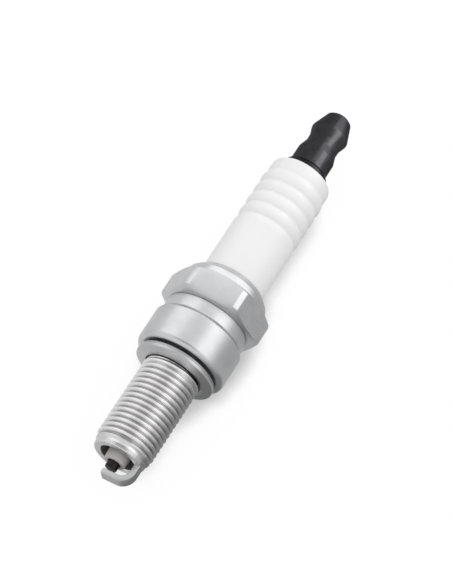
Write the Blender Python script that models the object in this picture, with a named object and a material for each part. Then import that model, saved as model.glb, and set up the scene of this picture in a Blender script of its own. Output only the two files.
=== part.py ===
"""Motorcycle spark plug with a 10 mm thread, 19 mm reach and 16 mm hexagon.

The plug lies on a flat of its hexagon. Its axis is the X axis: the firing end points to -X and the
terminal to +X. The origin is the centre of the shell's gasket seat. All sizes are in metres.
"""

import math

import bmesh
import bpy
from mathutils import Matrix

# Shell: thread, seat, barrel, hexagon and rolled rim
REACH = 0.0190
RIM_CHAMFER = 0.00025
THREAD_RADIUS = 0.0050
THREAD_ROOT_RADIUS = 0.00439
THREAD_PITCH = 0.0010
THREAD_CREST_SHARE = 0.09
THREAD_STEPS_PER_TURN = 20
THREAD_START = -0.0185
THREAD_LEAD_LENGTH = 0.0024
THREAD_RUN_OUT = 0.0016
THREAD_FADE_DEPTH = 0.0001
NECK_RADIUS = 0.00432
NECK_TAPER = 0.0002
SEAT_RADIUS = 0.00725
BARREL_RADIUS = 0.00784
BARREL_TOP = 0.00615
BARREL_EDGE_LENGTH = 0.0002
BARREL_EDGE_DROP = 0.0001
WAIST_RADIUS = 0.0073
WAIST_START = 0.00685
HEX_ACROSS_FLATS = 0.0160
HEX_CORNER_RADIUS = 0.00895
HEX_BOTTOM = 0.0091
HEX_TOP = 0.0142
HEX_OVERLAP = 0.0004
HEX_FOOT_RADIUS = 0.0074
HEX_FOOT_CHAMFER = 0.0008
HEX_CORNER_TOP = 0.01335
HEX_FLAT_TOP = 0.01395
HEX_TOP_RADIUS = 0.00775
RIM_FOOT_RADIUS = 0.0077
RIM_SHOULDER = 0.0154
RIM_SHOULDER_RADIUS = 0.0072
RIM_BEND_RADIUS = 0.0011
RIM_BEND_CENTRE = 0.0060
RIM_LIP_DROP = 0.0001
ROLLED_RIM_TOP = 0.01675
ROLLED_RIM_MOUTH = 0.00575

# Shell bore, from the firing end to the rolled rim
NOSE_BORE_RADIUS = 0.00315
LEDGE_RADIUS = 0.0028
LEDGE_START = -0.0100
LEDGE_END = -0.0090
STEM_BORE_RADIUS = 0.0035
FLANGE_BORE_RADIUS = 0.0064
FLANGE_BORE_START = 0.0016
FLANGE_BORE_TAPER = 0.0006
PACKING_TOP = 0.0158
BORE_TAPER = 0.0004
LEDGE_TAPER = 0.0006
CUTTER_OVERRUN = 0.001

# Insulator
NOSE_TIP = -0.0200
NOSE_TIP_RADIUS = 0.00185
NOSE_EDGE = 0.0002
NOSE_BASE_RADIUS = 0.00235
NOSE_BASE_START = -0.0094
NOSE_BASE_END = -0.0080
STEM_START = -0.0074
STEM_RADIUS = 0.00315
FLANGE_START = 0.0028
FLANGE_RADIUS = 0.0061
FLANGE_END = 0.0098
HEAD_START = 0.0103
HEAD_RADIUS = 0.00545
RIB_RADIUS = 0.0056
RIB_GROOVE_RADIUS = 0.00522
RIB_COUNT = 4
RIB_PITCH = 0.00235
RIB_START = 0.02805
RIB_FULLNESS = 0.7
RIB_LEAD = 0.0005
RIB_END_SHARE = 0.25
INSULATOR_TOP = 0.0405
SHOULDER_RADIUS = 0.0018
SHOULDER_STEP = 0.00005
ELECTRODE_BORE_RADIUS = 0.0012
ELECTRODE_BORE_END = -0.0066
STUD_BORE_RADIUS = 0.0020

# Electrodes and the conductors inside the insulator
CENTRE_ELECTRODE_RADIUS = 0.00105
CENTRE_ELECTRODE_TIP = -0.0211
ELECTRODE_HEAD_RADIUS = 0.0017
ELECTRODE_HEAD_START = -0.0057
ELECTRODE_HEAD_END = -0.0042
ELECTRODE_HEAD_TAPER = 0.0006
CORE_RADIUS = 0.0005
CORE_BORE_RADIUS = 0.00065
CORE_START = -0.0190
SEAL_RADIUS = 0.00175
SEAL_LENGTH = 0.0050
RESISTOR_LENGTH = 0.0080
SPARK_GAP = 0.0007
STRAP_WIDTH = 0.0021
STRAP_THICKNESS = 0.0010
STRAP_BEND_RADIUS = 0.0019
STRAP_ROOT_RADIUS = 0.0038
STRAP_OVERHANG = 0.0008
STRAP_BEND_STEPS = 8
STRAP_TURN = math.radians(83.4)

# Terminal stud, washer and nut with its M4 thread
STUD_RADIUS = 0.0017
STUD_THREAD_RADIUS = 0.0020
STUD_THREAD_ROOT = 0.00157
STUD_THREAD_PITCH = 0.0007
STUD_THREAD_START = 0.0417
STUD_END = 0.0493
STUD_CHAMFER = 0.0003
STUD_END_SLOPE = 0.8
STUD_RING_COUNT = 4
STUD_RING_PITCH = 0.0008
STUD_RING_START = 0.0004
STUD_RING_WIDTH = 0.0004
STUD_RING_TAPER = 0.0002
STUD_THREAD_STEPS = 16
STUD_THREAD_CLEARANCE = 0.0001
STUD_THREAD_FLAT = 0.12
WASHER_BASE = 0.0408
WASHER_THICKNESS = 0.0011
WASHER_RADIUS = 0.00385
WASHER_TOP_RADIUS = 0.0035
WASHER_BORE_RADIUS = 0.0023
NUT_BASE = 0.0422
NUT_EDGE = 0.00015
NUT_RADIUS = 0.0033
NUT_BARREL_END = 0.0444
NUT_WAIST_RADIUS = 0.0028
NUT_WAIST_START = 0.0468
NUT_WAIST_END = 0.0473
NUT_HEAD_RADIUS = 0.00326
NUT_HEAD_CREST = 0.0495
NUT_TOP = 0.0530
NUT_TOP_RADIUS = 0.0017
NUT_TOP_ROUND = 0.0007
NUT_BORE_RADIUS = 0.00169
NUT_BORE_DEPTH = 0.0078

# Crush gasket and the packing inside the shell
GASKET_BACK = -0.00045
GASKET_THICKNESS = 0.0014
GASKET_RADIUS = 0.0070
GASKET_BORE_RADIUS = 0.0051
GASKET_LIP_RADIUS = 0.0047
GASKET_LIP_THICKNESS = 0.0004
PACKING_INNER_RADIUS = 0.0056
PACKING_OUTER_RADIUS = 0.00625
PACKING_RING_LENGTH = 0.0007
SEAT_WASHER_START = -0.0085
SEAT_WASHER_THICKNESS = 0.0004
SEAT_WASHER_INNER_RADIUS = 0.0025
SEAT_WASHER_OUTER_RADIUS = 0.0031

JOINT_GAP = 0.0003
SHELL_SEGMENTS = 40
INSULATOR_SEGMENTS = 36
SMALL_SEGMENTS = 24
SMOOTH_ANGLE = math.radians(32)

# A thread ridge's foot, as shares of its pitch: its half width and how deep it is sunk
RIDGE_FOOT_SHARE = 0.47
RIDGE_SUNK_SHARE = 0.15


def clear_scene():
    for item in list(bpy.data.objects):
        bpy.data.objects.remove(item, do_unlink=True)


def finish(name, colour, roughness, metallic):
    material = bpy.data.materials.new(name)
    material.use_nodes = True
    shader = material.node_tree.nodes["Principled BSDF"]
    shader.inputs["Base Color"].default_value = (*colour, 1.0)
    shader.inputs["Roughness"].default_value = roughness
    shader.inputs["Metallic"].default_value = metallic
    return material


def add_object(name, shape, material=None, parent=None, place=0.0):
    """Link a mesh made around the X axis; place is where its origin sits on that axis."""
    mesh = bpy.data.meshes.new(name)
    bmesh.ops.translate(shape, verts=shape.verts, vec=(-place, 0.0, 0.0))
    shape.to_mesh(mesh)
    shape.free()
    mesh.shade_smooth()
    mesh.set_sharp_from_angle(angle=SMOOTH_ANGLE)
    piece = bpy.data.objects.new(name, mesh)
    piece.location = (place, 0.0, 0.0)
    bpy.context.scene.collection.objects.link(piece)
    if material:
        mesh.materials.append(material)
    if parent:
        piece.parent = parent
    return piece


def add_axis(name):
    """Empty on the plug's axis that carries the pieces."""
    empty = bpy.data.objects.new(name, None)
    bpy.context.scene.collection.objects.link(empty)
    return empty


def add_boolean(piece, tool, operation):
    tool.hide_render = True
    tool.display_type = "WIRE"
    modifier = piece.modifiers.new(operation.lower(), "BOOLEAN")
    modifier.operation = operation
    modifier.solver = "EXACT"
    modifier.object = tool


def arc(centre_x, centre_r, radius, start, end, count):
    """Points (x, r) on an arc; angles in degrees, 0 along +X and 90 away from the axis."""
    turns = [math.radians(start + (end - start) * i / count) for i in range(count + 1)]
    return [(centre_x + radius * math.cos(t), centre_r + radius * math.sin(t)) for t in turns]


def ease(start_x, start_r, end_x, end_r, count):
    """Points (x, r) on an S-shaped curve that leaves and ends parallel to the axis."""
    points = []
    for i in range(count + 1):
        share = (1 - math.cos(math.pi * i / count)) / 2
        points.append((start_x + (end_x - start_x) * i / count, start_r + (end_r - start_r) * share))
    return points


def turned(outline, segments, ring=False):
    """Spin an outline of (x, r) points around the X axis; a ring's outline is closed on itself."""
    shape = bmesh.new()
    points = [shape.verts.new((x, 0.0, r)) for x, r in outline]
    pairs = list(zip(points, points[1:]))
    if ring:
        pairs.append((points[-1], points[0]))
    edges = [shape.edges.new(pair) for pair in pairs]
    bmesh.ops.spin(shape, geom=points + edges, axis=(1.0, 0.0, 0.0), cent=(0.0, 0.0, 0.0),
                   angle=math.tau, steps=segments, use_merge=True)
    bmesh.ops.remove_doubles(shape, verts=shape.verts, dist=1e-7)
    bmesh.ops.recalc_face_normals(shape, faces=shape.faces)
    return shape


def thread_ridge(start, turns, pitch, root, crest, steps, crest_widths):
    """Right-hand helical ridge with its foot sunk below the root radius.

    crest_widths are the crest's corners along the axis, as shares of the pitch; one makes a sharp crest.
    """
    foot = RIDGE_FOOT_SHARE * pitch
    sunk = root - RIDGE_SUNK_SHARE * pitch
    section = [(-foot, sunk), *((share * pitch, crest) for share in crest_widths), (foot, sunk)]
    shape = bmesh.new()
    corners = [shape.verts.new((start + x, 0.0, r)) for x, r in section]
    face = shape.faces.new(corners)
    count = round(turns * steps)
    bmesh.ops.spin(shape, geom=[face, *face.edges, *face.verts], axis=(1.0, 0.0, 0.0),
                   cent=(0.0, 0.0, 0.0), dvec=(pitch / steps, 0.0, 0.0),
                   angle=math.tau * count / steps, steps=count)
    half_step = Matrix.Rotation(math.pi / steps, 3, "X")
    bmesh.ops.rotate(shape, verts=shape.verts, matrix=half_step, cent=(0.0, 0.0, 0.0))
    bmesh.ops.recalc_face_normals(shape, faces=shape.faces)
    return shape


def limit_radius(shape, limit):
    """Pull every vertex in to the radius that limit(x) allows, which fades a thread out."""
    for vert in shape.verts:
        radius = math.hypot(vert.co.y, vert.co.z)
        allowed = limit(vert.co.x)
        if radius > allowed:
            vert.co.y *= allowed / radius
            vert.co.z *= allowed / radius


def shell_outline():
    edge_radius = BARREL_RADIUS - SEAT_RADIUS
    return [
        (-REACH, 0.0),
        (-REACH, THREAD_ROOT_RADIUS - RIM_CHAMFER),
        (-REACH + RIM_CHAMFER, THREAD_ROOT_RADIUS),
        (-THREAD_RUN_OUT, THREAD_ROOT_RADIUS),
        (-THREAD_RUN_OUT + NECK_TAPER, NECK_RADIUS),
        (0.0, NECK_RADIUS),
        (0.0, SEAT_RADIUS),
        *arc(edge_radius, SEAT_RADIUS, edge_radius, 150, 90, 3),
        (BARREL_TOP, BARREL_RADIUS),
        (BARREL_TOP + BARREL_EDGE_LENGTH, BARREL_RADIUS - BARREL_EDGE_DROP),
        (WAIST_START, WAIST_RADIUS),
        (HEX_BOTTOM + HEX_OVERLAP, WAIST_RADIUS),
        (HEX_TOP - HEX_OVERLAP, RIM_FOOT_RADIUS),
        (RIM_SHOULDER, RIM_SHOULDER_RADIUS),
        *arc(ROLLED_RIM_TOP - RIM_BEND_RADIUS, RIM_BEND_CENTRE, RIM_BEND_RADIUS, 70, 0, 4),
        (ROLLED_RIM_TOP - RIM_LIP_DROP, ROLLED_RIM_MOUTH + RIM_LIP_DROP),
        (ROLLED_RIM_TOP - 2 * RIM_LIP_DROP, 0.0),
    ]


def shell_bore_outline():
    return [
        (-REACH - CUTTER_OVERRUN, 0.0),
        (-REACH - CUTTER_OVERRUN, NOSE_BORE_RADIUS),
        (LEDGE_START - BORE_TAPER, NOSE_BORE_RADIUS),
        (LEDGE_START, LEDGE_RADIUS),
        (LEDGE_END, LEDGE_RADIUS),
        (LEDGE_END + LEDGE_TAPER, STEM_BORE_RADIUS),
        (FLANGE_BORE_START - BORE_TAPER, STEM_BORE_RADIUS),
        (FLANGE_BORE_START + FLANGE_BORE_TAPER, FLANGE_BORE_RADIUS),
        (PACKING_TOP - BORE_TAPER, FLANGE_BORE_RADIUS),
        (PACKING_TOP, ROLLED_RIM_MOUTH),
        (ROLLED_RIM_TOP + CUTTER_OVERRUN, ROLLED_RIM_MOUTH),
        (ROLLED_RIM_TOP + CUTTER_OVERRUN, 0.0),
    ]


def hexagon_prism():
    shape = bmesh.new()
    sharp_corner = HEX_ACROSS_FLATS / math.sqrt(3.0)
    length = HEX_TOP - HEX_BOTTOM
    turn = Matrix.Rotation(math.radians(90), 4, "Y")
    middle = Matrix.Translation(((HEX_BOTTOM + HEX_TOP) / 2, 0.0, 0.0))
    bmesh.ops.create_cone(shape, cap_ends=True, segments=6, radius1=sharp_corner, radius2=sharp_corner,
                          depth=length, matrix=middle @ turn)
    return shape


def hexagon_blank():
    """Turned blank that cuts the hexagon's corners and ends to their chamfers."""
    return turned([
        (HEX_BOTTOM, 0.0),
        (HEX_BOTTOM, HEX_FOOT_RADIUS),
        (HEX_BOTTOM + HEX_FOOT_CHAMFER, HEX_CORNER_RADIUS),
        (HEX_CORNER_TOP, HEX_CORNER_RADIUS),
        (HEX_FLAT_TOP, HEX_ACROSS_FLATS / 2),
        (HEX_TOP, HEX_TOP_RADIUS),
        (HEX_TOP, 0.0),
    ], SHELL_SEGMENTS)


def add_shell(parent):
    plated = finish("plated_steel", (0.72, 0.73, 0.74), 0.28, 1.0)
    shell = add_object("metal_shell", turned(shell_outline(), SHELL_SEGMENTS), plated, parent)

    hexagon = add_object("hexagon", hexagon_prism(), parent=parent)
    add_boolean(hexagon, add_object("hexagon_blank", hexagon_blank(), parent=parent), "INTERSECT")
    add_boolean(shell, hexagon, "UNION")

    part_turn_left_out = 0.15
    turns = -(THREAD_START + THREAD_RUN_OUT) / THREAD_PITCH - part_turn_left_out
    ridge = thread_ridge(THREAD_START, turns, THREAD_PITCH, THREAD_ROOT_RADIUS, THREAD_RADIUS,
                         THREAD_STEPS_PER_TURN, (-THREAD_CREST_SHARE, THREAD_CREST_SHARE))
    faded = THREAD_ROOT_RADIUS - THREAD_FADE_DEPTH
    buried = NECK_RADIUS - JOINT_GAP
    rise = (THREAD_RADIUS - faded) / THREAD_LEAD_LENGTH

    def lead_and_run_out(x):
        at_tip = faded + rise * (x + REACH)
        at_seat = faded - (x + THREAD_RUN_OUT)
        return min(THREAD_RADIUS, max(at_tip, buried), max(at_seat, buried))

    limit_radius(ridge, lead_and_run_out)
    add_boolean(shell, add_object("thread_ridge", ridge, parent=parent), "UNION")
    bore = turned(shell_bore_outline(), SHELL_SEGMENTS)
    add_boolean(shell, add_object("shell_bore", bore, parent=parent), "DIFFERENCE")


def add_ground_electrode(parent):
    """Flat strap that stands on the shell's rim, bends square and crosses the electrode's end."""
    nickel = finish("nickel_strap", (0.60, 0.62, 0.62), 0.42, 1.0)
    inner = CENTRE_ELECTRODE_TIP - SPARK_GAP
    centre_x = inner - STRAP_THICKNESS / 2
    bend_x = centre_x + STRAP_BEND_RADIUS
    bend_r = STRAP_ROOT_RADIUS - STRAP_BEND_RADIUS
    path = [(-REACH - JOINT_GAP, STRAP_ROOT_RADIUS)]
    for i in range(STRAP_BEND_STEPS + 1):
        turn = math.radians(90 * i / STRAP_BEND_STEPS)
        back = STRAP_BEND_RADIUS * math.sin(turn)
        path.append((bend_x - back, bend_r + STRAP_BEND_RADIUS * math.cos(turn)))
    path.append((centre_x, -STRAP_OVERHANG))

    shape = bmesh.new()
    sections = []
    for i, (x, r) in enumerate(path):
        before = path[max(i - 1, 0)]
        after = path[min(i + 1, len(path) - 1)]
        along = math.atan2(after[1] - before[1], after[0] - before[0])
        side_x = -math.sin(along) * STRAP_THICKNESS / 2
        side_r = math.cos(along) * STRAP_THICKNESS / 2
        half = STRAP_WIDTH / 2
        corners = ((side_x, side_r, -half), (side_x, side_r, half), (-side_x, -side_r, half),
                   (-side_x, -side_r, -half))
        sections.append([shape.verts.new((x + dx, y, r + dr)) for dx, dr, y in corners])
    for first, second in zip(sections, sections[1:]):
        for i in range(4):
            j = (i + 1) % 4
            shape.faces.new((first[i], first[j], second[j], second[i]))
    shape.faces.new(sections[0])
    shape.faces.new(sections[-1])
    bmesh.ops.recalc_face_normals(shape, faces=shape.faces)
    bmesh.ops.rotate(shape, verts=shape.verts, matrix=Matrix.Rotation(STRAP_TURN, 3, "X"),
                     cent=(0.0, 0.0, 0.0))
    add_object("ground_electrode", shape, nickel, parent)


def add_gasket(parent):
    """Folded ring whose inner lip is smaller than the thread, so it can't come off."""
    steel = finish("gasket_steel", (0.50, 0.51, 0.52), 0.38, 1.0)
    back = GASKET_BACK
    front = GASKET_BACK - GASKET_THICKNESS
    fold = GASKET_THICKNESS / 2
    outline = [
        (back, GASKET_LIP_RADIUS),
        *arc(back - fold, GASKET_RADIUS - fold, fold, 0, 180, 6),
        (front, GASKET_BORE_RADIUS),
        (back - GASKET_LIP_THICKNESS, GASKET_BORE_RADIUS),
        (back - GASKET_LIP_THICKNESS, GASKET_LIP_RADIUS),
    ]
    add_object("crush_gasket", turned(outline, SHELL_SEGMENTS, ring=True), steel, parent, GASKET_BACK)


def insulator_outline():
    shoulder_start = INSULATOR_TOP - SHOULDER_RADIUS
    ribs = []
    points_per_rib = 4
    for i in range(RIB_COUNT * points_per_rib + 1):
        swell = math.sin(math.pi * (i % points_per_rib) / points_per_rib) ** RIB_FULLNESS
        radius = RIB_GROOVE_RADIUS + (RIB_RADIUS - RIB_GROOVE_RADIUS) * swell
        ribs.append((RIB_START + RIB_PITCH * i / points_per_rib, radius))
    return [
        (NOSE_TIP, ELECTRODE_BORE_RADIUS),
        (NOSE_TIP, NOSE_TIP_RADIUS - NOSE_EDGE),
        (NOSE_TIP + NOSE_EDGE, NOSE_TIP_RADIUS),
        (NOSE_BASE_START, NOSE_BASE_RADIUS),
        (NOSE_BASE_END, NOSE_BASE_RADIUS),
        (STEM_START, STEM_RADIUS),
        (FLANGE_BORE_START + JOINT_GAP, STEM_RADIUS),
        (FLANGE_START, FLANGE_RADIUS),
        (FLANGE_END, FLANGE_RADIUS),
        (HEAD_START, HEAD_RADIUS),
        (RIB_START - RIB_LEAD, HEAD_RADIUS),
        *ribs,
        (RIB_START + RIB_PITCH * (RIB_COUNT + RIB_END_SHARE), HEAD_RADIUS - SHOULDER_STEP),
        *arc(shoulder_start, HEAD_RADIUS - SHOULDER_RADIUS, SHOULDER_RADIUS, 90, 0, 6),
        (INSULATOR_TOP, STUD_BORE_RADIUS),
        (ELECTRODE_HEAD_START - JOINT_GAP, STUD_BORE_RADIUS),
        (ELECTRODE_BORE_END, ELECTRODE_BORE_RADIUS),
    ]


def add_insulator(parent):
    ceramic = finish("glazed_ceramic", (0.90, 0.90, 0.89), 0.15, 0.0)
    add_object("insulator", turned(insulator_outline(), INSULATOR_SEGMENTS, ring=True), ceramic, parent)


def add_conductors(parent):
    """Electrode with its copper core, and the sealed column between it and the terminal stud."""
    dark_nickel = finish("dark_nickel", (0.05, 0.045, 0.045), 0.45, 1.0)
    outline = [
        (CENTRE_ELECTRODE_TIP, 0.0),
        (CENTRE_ELECTRODE_TIP, CENTRE_ELECTRODE_RADIUS),
        (ELECTRODE_HEAD_START - ELECTRODE_HEAD_TAPER, CENTRE_ELECTRODE_RADIUS),
        (ELECTRODE_HEAD_START, ELECTRODE_HEAD_RADIUS),
        (ELECTRODE_HEAD_END, ELECTRODE_HEAD_RADIUS),
        (ELECTRODE_HEAD_END, CORE_BORE_RADIUS),
        (CORE_START - JOINT_GAP, CORE_BORE_RADIUS),
        (CORE_START - JOINT_GAP, 0.0),
    ]
    add_object("centre_electrode", turned(outline, SMALL_SEGMENTS), dark_nickel, parent)

    copper = finish("copper", (0.72, 0.38, 0.24), 0.35, 1.0)
    add_rod("copper_core", CORE_START, ELECTRODE_HEAD_END, CORE_RADIUS, copper, parent)

    glass = finish("copper_glass", (0.30, 0.22, 0.17), 0.30, 0.0)
    carbon = finish("resistor_carbon", (0.05, 0.05, 0.05), 0.70, 0.0)
    lower_end = ELECTRODE_HEAD_END + JOINT_GAP + SEAL_LENGTH
    resistor_end = lower_end + JOINT_GAP + RESISTOR_LENGTH
    upper_end = resistor_end + JOINT_GAP + SEAL_LENGTH
    add_rod("lower_glass_seal", lower_end - SEAL_LENGTH, lower_end, SEAL_RADIUS, glass, parent)
    add_rod("resistor", resistor_end - RESISTOR_LENGTH, resistor_end, SEAL_RADIUS, carbon, parent)
    add_rod("upper_glass_seal", upper_end - SEAL_LENGTH, upper_end, SEAL_RADIUS, glass, parent)
    return upper_end + JOINT_GAP


def add_rod(name, start, end, radius, material, parent):
    outline = [(start, 0.0), (start, radius), (end, radius), (end, 0.0)]
    add_object(name, turned(outline, SMALL_SEGMENTS), material, parent)


def add_ring(name, start, end, inner, outer, material, parent):
    outline = [(start, inner), (start, outer), (end, outer), (end, inner)]
    add_object(name, turned(outline, SMALL_SEGMENTS, ring=True), material, parent)


def add_packing(parent):
    """Washer under the insulator's seat, and the talc column with its two wire rings above the flange."""
    soft_steel = finish("soft_steel", (0.42, 0.42, 0.43), 0.45, 1.0)
    talc = finish("talc", (0.80, 0.79, 0.74), 0.90, 0.0)
    add_ring("seat_packing_washer", SEAT_WASHER_START, SEAT_WASHER_START + SEAT_WASHER_THICKNESS,
             SEAT_WASHER_INNER_RADIUS, SEAT_WASHER_OUTER_RADIUS, soft_steel, parent)
    lower = HEAD_START + JOINT_GAP
    upper = PACKING_TOP - BORE_TAPER - JOINT_GAP - PACKING_RING_LENGTH
    inner, outer = PACKING_INNER_RADIUS, PACKING_OUTER_RADIUS
    add_ring("lower_packing_ring", lower, lower + PACKING_RING_LENGTH, inner, outer, soft_steel, parent)
    add_ring("talc_packing", lower + PACKING_RING_LENGTH + JOINT_GAP, upper - JOINT_GAP, inner, outer,
             talc, parent)
    add_ring("upper_packing_ring", upper, upper + PACKING_RING_LENGTH, inner, outer, soft_steel, parent)


def add_stud(parent, start):
    steel = finish("stud_steel", (0.45, 0.44, 0.42), 0.35, 1.0)
    outline = [(start, 0.0), (start, STUD_THREAD_ROOT)]
    for i in range(STUD_RING_COUNT):
        ring = start + STUD_RING_START + i * STUD_RING_PITCH
        ring_end = ring + STUD_RING_WIDTH
        outline += [(ring, STUD_RADIUS), (ring_end, STUD_RADIUS)]
        outline += [(ring_end + STUD_RING_TAPER, STUD_THREAD_ROOT)]
    outline += [
        (STUD_END - STUD_CHAMFER, STUD_THREAD_ROOT),
        (STUD_END, STUD_THREAD_ROOT - STUD_CHAMFER),
        (STUD_END, 0.0),
    ]
    stud = add_object("terminal_stud", turned(outline, STUD_THREAD_STEPS), steel, parent)
    turns = (STUD_END - STUD_THREAD_START) / STUD_THREAD_PITCH - 1
    ridge = thread_ridge(STUD_THREAD_START, turns, STUD_THREAD_PITCH, STUD_THREAD_ROOT,
                         STUD_THREAD_RADIUS, STUD_THREAD_STEPS, (0.0,))
    faded = STUD_THREAD_ROOT - THREAD_FADE_DEPTH
    limit_radius(ridge, lambda x: faded + STUD_END_SLOPE * (STUD_END - x))
    add_boolean(stud, add_object("stud_thread", ridge, parent=parent), "UNION")


def add_washer(parent, black):
    outline = [
        (WASHER_BASE, WASHER_BORE_RADIUS),
        (WASHER_BASE, WASHER_RADIUS),
        (WASHER_BASE + WASHER_THICKNESS / 2, WASHER_RADIUS),
        (WASHER_BASE + WASHER_THICKNESS, WASHER_TOP_RADIUS),
        (WASHER_BASE + WASHER_THICKNESS, WASHER_BORE_RADIUS),
    ]
    add_object("terminal_washer", turned(outline, SMALL_SEGMENTS, ring=True), black, parent, WASHER_BASE)


def nut_outline():
    """Barrel, waist and round head of the terminal nut."""
    return [
        (NUT_BASE, 0.0),
        (NUT_BASE, NUT_RADIUS - NUT_EDGE),
        (NUT_BASE + NUT_EDGE, NUT_RADIUS),
        *ease(NUT_BARREL_END, NUT_RADIUS, NUT_WAIST_START, NUT_WAIST_RADIUS, 5),
        *ease(NUT_WAIST_END, NUT_WAIST_RADIUS, NUT_HEAD_CREST, NUT_HEAD_RADIUS, 5),
        *arc(NUT_TOP - NUT_TOP_ROUND, NUT_TOP_RADIUS, NUT_TOP_ROUND, 68, 0, 4),
        (NUT_TOP, 0.0),
    ]


def add_nut(parent, black):
    nut = add_object("terminal_nut", turned(nut_outline(), SMALL_SEGMENTS), black, parent, NUT_BASE)
    bore_end = NUT_BASE + NUT_BORE_DEPTH
    bore = turned([
        (NUT_BASE - CUTTER_OVERRUN, 0.0),
        (NUT_BASE - CUTTER_OVERRUN, NUT_BORE_RADIUS),
        (bore_end, NUT_BORE_RADIUS),
        (bore_end + NUT_BORE_RADIUS / 2, 0.0),
    ], STUD_THREAD_STEPS)
    add_boolean(nut, add_object("nut_bore", bore, parent=parent), "DIFFERENCE")
    turns = (NUT_BORE_DEPTH + NUT_BASE - STUD_THREAD_START) / STUD_THREAD_PITCH - 1
    groove = thread_ridge(STUD_THREAD_START, turns, STUD_THREAD_PITCH, STUD_THREAD_ROOT,
                          STUD_THREAD_RADIUS + STUD_THREAD_CLEARANCE, STUD_THREAD_STEPS,
                          (-STUD_THREAD_FLAT, STUD_THREAD_FLAT))
    add_boolean(nut, add_object("nut_thread", groove, parent=parent), "DIFFERENCE")


def main():
    clear_scene()
    axis = add_axis("plug_axis")
    add_shell(axis)
    add_ground_electrode(axis)
    add_insulator(axis)
    stud_start = add_conductors(axis)
    add_packing(axis)
    add_stud(axis, stud_start)

    gasket_axis = add_axis("gasket_axis")
    add_gasket(gasket_axis)
    nut_axis = add_axis("nut_axis")
    black = finish("black_steel", (0.035, 0.035, 0.038), 0.35, 1.0)
    add_washer(nut_axis, black)
    add_nut(nut_axis, black)


main()
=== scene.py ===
"""Looks of a motorcycle spark plug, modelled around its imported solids.

Laid out as an add-on and run as a script. The plug's axis is the X axis, with the firing end towards -X
and the terminal towards +X, and the origin is the centre of the gasket seat. All sizes are in metres.
"""

import math

import bmesh
import bpy
from bpy.props import FloatProperty, FloatVectorProperty, PointerProperty
from mathutils import Matrix, Vector


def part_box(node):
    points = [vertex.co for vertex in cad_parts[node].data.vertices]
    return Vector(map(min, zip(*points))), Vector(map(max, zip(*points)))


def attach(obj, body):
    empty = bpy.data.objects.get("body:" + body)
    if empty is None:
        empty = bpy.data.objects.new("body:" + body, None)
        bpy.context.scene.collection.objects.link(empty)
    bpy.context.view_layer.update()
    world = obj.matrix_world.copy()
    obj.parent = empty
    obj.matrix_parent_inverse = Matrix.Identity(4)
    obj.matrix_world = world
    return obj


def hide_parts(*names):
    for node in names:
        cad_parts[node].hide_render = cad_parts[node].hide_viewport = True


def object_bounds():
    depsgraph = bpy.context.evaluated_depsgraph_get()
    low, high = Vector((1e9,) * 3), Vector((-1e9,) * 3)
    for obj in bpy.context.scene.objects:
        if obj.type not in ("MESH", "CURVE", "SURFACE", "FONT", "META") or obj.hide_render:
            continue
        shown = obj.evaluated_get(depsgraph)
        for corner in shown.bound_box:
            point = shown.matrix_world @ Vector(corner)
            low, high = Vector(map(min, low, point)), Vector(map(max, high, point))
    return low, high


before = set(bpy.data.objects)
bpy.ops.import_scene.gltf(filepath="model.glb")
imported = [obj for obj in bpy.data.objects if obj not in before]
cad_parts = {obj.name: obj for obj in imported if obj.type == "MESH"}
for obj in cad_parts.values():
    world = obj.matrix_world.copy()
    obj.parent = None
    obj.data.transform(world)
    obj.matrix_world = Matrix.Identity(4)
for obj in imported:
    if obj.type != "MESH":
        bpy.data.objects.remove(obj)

bl_info = {
    "name": "Spark plug looks",
    "version": (1, 0, 0),
    "blender": (4, 5, 0),
    "location": "3D View > Sidebar > Spark plug",
    "description": "Models the finished surfaces of a spark plug around its solid frame",
    "category": "Object",
}

CAD_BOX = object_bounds()
SHELL_LOW, SHELL_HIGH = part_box("metal_shell")
GASKET_LOW, GASKET_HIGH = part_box("crush_gasket")
INSULATOR_LOW, INSULATOR_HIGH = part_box("insulator")
ELECTRODE_LOW, ELECTRODE_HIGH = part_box("centre_electrode")
STUD_LOW, STUD_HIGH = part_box("terminal_stud")
WASHER_LOW, WASHER_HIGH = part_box("terminal_washer")
NUT_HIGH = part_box("terminal_nut")[1]

# The solids keep gaps where the ceramic, washer and nut really touch, so these three close up on each other.
INSULATOR_TOP = INSULATOR_HIGH.x - 0.00015
WASHER_BASE = WASHER_LOW.x - 0.0004
WASHER_TOP = WASHER_HIGH.x - 0.0002

AXIS = (1.0, 0.0, 0.0)
CENTRE = (0.0, 0.0, 0.0)
MERGE = 3e-6
FINE_SEGMENTS = 128
SMALL_SEGMENTS = 72
THREAD_STEPS = 96
STUD_THREAD_STEPS = 48
FLAT_STEPS = 16
BEND_STEPS = 12
SMOOTH_ANGLE = math.radians(28)
PHOTO_HEIGHT = 584


def length(name, description, default):
    return FloatProperty(name=name, description=description, default=default, unit="LENGTH", precision=5)


def angle(name, description, degrees):
    return FloatProperty(name=name, description=description, default=math.radians(degrees), subtype="ANGLE")


def brightness(name, description, default):
    return FloatProperty(name=name, description=description, default=default, min=0.0)


def colour(name, description, default):
    return FloatVectorProperty(name=name, description=description, default=default, subtype="COLOR",
                               size=3, min=0.0, max=1.0)


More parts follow.
